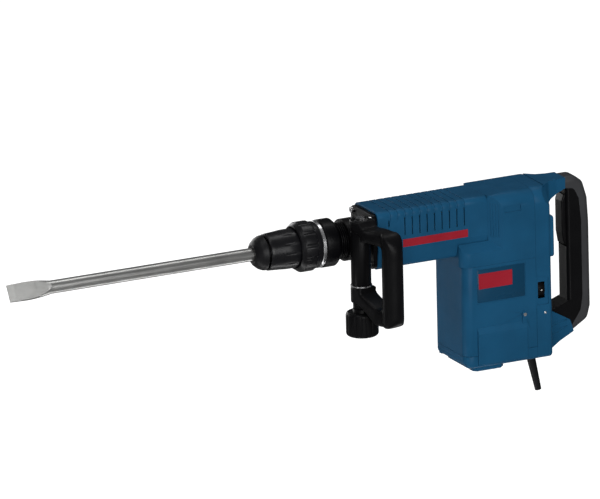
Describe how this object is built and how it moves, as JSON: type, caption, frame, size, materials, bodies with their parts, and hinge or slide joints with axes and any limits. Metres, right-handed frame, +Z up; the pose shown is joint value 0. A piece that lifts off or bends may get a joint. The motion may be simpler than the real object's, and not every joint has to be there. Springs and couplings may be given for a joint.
{
  "type": "electric demolition hammer",
  "caption": "Hand-held electric demolition hammer with a flat chisel, a ribbed barrel, an upright motor housing, a loop grip and a clamped side handle.",
  "frame": {"origin": "on the motor axis, on the flat foot under the motor housing", "axes": "+X from the chisel towards the rear loop grip, along the tool axis; +Z up along the motor axis; -Y is the side of the side handle and the speed wheel"},
  "size_m": [0.9745, 0.1976, 0.3351],
  "materials": {
    "chisel_steel": "bright drawn shaft with a ground blade",
    "bright_steel": "zinc plated",
    "tool_steel": "hardened and ground, oiled",
    "spring_steel": "spring wire",
    "black_rubber": "matte moulded rubber",
    "grey_rubber": "soft grip, fine grain",
    "chuck_black": "satin black sleeve",
    "cast_black": "black painted casting",
    "black_plastic": "fine grained glass-filled plastic",
    "blue_plastic": "fine grained glass-filled plastic",
    "badge_red": "plain coloured plate, no lettering",
    "cast_aluminium": "die cast",
    "laminated_steel": "varnished laminations",
    "copper": "varnished copper wire and segments",
    "carbon": "sintered carbon",
    "brass": "machined",
    "white_plastic": "moulded"
  },
  "bodies": {
    "housing": {"ratchet_ring": "bright_steel", "neck": "cast_black", "neck_bolts": "bright_steel", "cylinder_tube": "tool_steel", "piston": "cast_aluminium", "piston_ring": "black_rubber", "crank_bearings": "tool_steel", "motor_bearing_upper": "tool_steel", "motor_bearing_lower": "tool_steel", "crankcase": "cast_aluminium", "crankcase_lid": "cast_aluminium", "stator_core": "laminated_steel", "field_coils": "copper", "carbon_brushes": "carbon", "brush_holders": "brass", "barrel_shell": "blue_plastic", "gear_housing": "blue_plastic", "motor_housing": "blue_plastic", "bottom_cover": "blue_plastic", "side_cover_left": "blue_plastic", "side_cover_right": "blue_plastic", "badge_plates": "badge_red", "rear_shell": "blue_plastic", "rear_plate": "blue_plastic", "grip_cover": "grey_rubber", "grip_core": "black_plastic", "switch_body": "white_plastic", "trigger_pin": "tool_steel", "trigger_spring": "spring_steel", "speed_module": "black_plastic", "cable_sleeve": "black_rubber", "cable_clamp": "black_plastic", "housing_screws": "bright_steel", "cover_screws": "bright_steel"},
    "chuck": {"dust_cap": "black_rubber", "tool_holder": "tool_steel", "lock_rollers": "tool_steel", "vario_ring": "chuck_black", "sleeve_spring": "spring_steel"},
    "sleeve": {"locking_sleeve": "chuck_black"},
    "chisel": {"chisel": "chisel_steel"},
    "striker": {"striker": "tool_steel", "striker_ring": "black_rubber"},
    "ram": {"ram": "tool_steel", "ram_ring": "black_rubber"},
    "crank": {"crank_gear": "tool_steel"},
    "rod": {"connecting_rod": "cast_aluminium", "wrist_pin": "tool_steel"},
    "armature": {"armature_shaft": "tool_steel", "armature_core": "laminated_steel", "armature_windings": "copper", "commutator": "copper", "fan": "black_plastic"},
    "clamp": {"clamp_band": "black_plastic", "clamp_bolt": "bright_steel", "clamp_washer": "bright_steel"},
    "side_handle": {"side_grip": "black_plastic"},
    "knob": {"clamp_knob": "black_plastic"},
    "trigger": {"trigger": "black_plastic"},
    "speed_wheel": {"speed_wheel": "black_plastic"}
  },
  "joints": [
    {"name": "chuck_turn", "type": "hinge", "parent": "housing", "child": "chuck", "pos_m": [-0.33, 0, 0.228], "axis": [1, 0, 0], "continuous": true},
    {"name": "sleeve_pull", "type": "slide", "parent": "chuck", "child": "sleeve", "axis": [1, 0, 0], "range_m": [0, 0.012], "stiffness_N_per_m": 600, "springref_m": -0.006, "deforming": ["sleeve_spring"]},
    {"name": "chisel_play", "type": "slide", "parent": "chuck", "child": "chisel", "axis": [-1, 0, 0], "range_m": [0, 0.02]},
    {"name": "striker_stroke", "type": "slide", "parent": "housing", "child": "striker", "axis": [-1, 0, 0], "range_m": [0, 0.006]},
    {"name": "ram_stroke", "type": "slide", "parent": "housing", "child": "ram", "axis": [-1, 0, 0], "range_m": [-0.018, 0.027]},
    {"name": "crank_spin", "type": "hinge", "parent": "housing", "child": "crank", "pos_m": [-0.0324, 0, 0.2], "axis": [0, 0, 1], "continuous": true},
    {"name": "rod_orbit", "type": "hinge", "parent": "crank", "child": "rod", "pos_m": [-0.0424, 0, 0.228], "axis": [0, 0, 1], "continuous": true},
    {"name": "armature_spin", "type": "hinge", "parent": "housing", "child": "armature", "pos_m": [0, 0, 0.1], "axis": [0, 0, 1], "continuous": true},
    {"name": "handle_swing", "type": "hinge", "parent": "housing", "child": "clamp", "pos_m": [-0.2313, 0, 0.228], "axis": [1, 0, 0], "continuous": true},
    {"name": "handle_tilt", "type": "hinge", "parent": "clamp", "child": "side_handle", "pos_m": [-0.2313, -0.045, 0.2], "axis": [0, 0, 1], "range_deg": [-45, 15]},
    {"name": "knob_turn", "type": "hinge", "parent": "clamp", "child": "knob", "pos_m": [-0.2313, -0.045, 0.11], "axis": [0, 0, 1], "range_deg": [0, 540]},
    {"name": "trigger_press", "type": "hinge", "parent": "housing", "child": "trigger", "pos_m": [0.138, 0, 0.243], "axis": [0, -1, 0], "range_deg": [0, 5.5], "stiffness_Nm_per_rad": 3, "springref_deg": -3.44, "deforming": ["trigger_spring"]},
    {"name": "speed_set", "type": "hinge", "parent": "housing", "child": "speed_wheel", "pos_m": [0.0696, -0.0415, 0.115], "axis": [1, 0, 0], "range_deg": [-150, 150]}
  ],
  "couplings": [
    {"joint": "rod_orbit", "follows": "crank_spin", "ratio": -1},
    {"joint": "armature_spin", "follows": "crank_spin", "ratio": -5}
  ]
}
